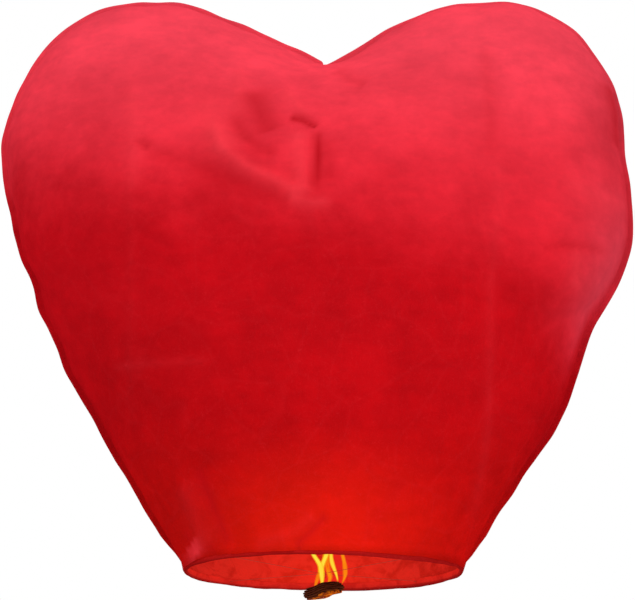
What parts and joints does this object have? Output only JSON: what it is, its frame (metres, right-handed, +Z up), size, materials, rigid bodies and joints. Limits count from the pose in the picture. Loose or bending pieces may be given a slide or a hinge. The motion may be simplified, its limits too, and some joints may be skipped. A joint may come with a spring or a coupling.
{
  "type": "sky lantern",
  "caption": "Heart-shaped paper sky lantern with an open round mouth, a bamboo hoop, crossed wires and a hanging waxed fuel pad.",
  "frame": {"origin": "centre of the round mouth, on the underside of the rim", "axes": "+X across the heart to its right lobe as seen from the front, +Y from the front face to the back face, +Z up from the mouth to the lobes"},
  "size_m": [0.892, 0.4798, 0.8671],
  "materials": {
    "red_paper": "thin red tissue paper, faintly waxy",
    "rim_paper": "red tissue paper in several layers, glued",
    "bamboo": "split bamboo, unvarnished",
    "thread": "cotton thread",
    "iron_wire": "thin annealed iron wire, dull",
    "fuel_paper": "waxed paper, charred brown"
  },
  "bodies": {
    "envelope": {"front_panel": "red_paper", "back_panel": "red_paper", "rim_band": "rim_paper", "bamboo_hoop": "bamboo", "hoop_bindings": "thread", "cross_wire_a": "iron_wire", "cross_wire_b": "iron_wire"},
    "link": {"hanging_link": "iron_wire"},
    "fuel_cell": {"cell_wire": "iron_wire", "fuel_layer_1": "fuel_paper", "fuel_layer_2": "fuel_paper", "fuel_layer_3": "fuel_paper", "fuel_layer_4": "fuel_paper", "fuel_layer_5": "fuel_paper", "fuel_layer_6": "fuel_paper"}
  },
  "joints": [
    {"name": "link_swing", "type": "hinge", "parent": "envelope", "child": "link", "pos_m": [0, 0, -0.00112], "axis": [0, 1, 0], "range_deg": [-18, 18]},
    {"name": "cell_swing", "type": "hinge", "parent": "link", "child": "fuel_cell", "pos_m": [0, 0, -0.00788], "axis": [1, 0, 0], "range_deg": [-18, 18]}
  ]
}
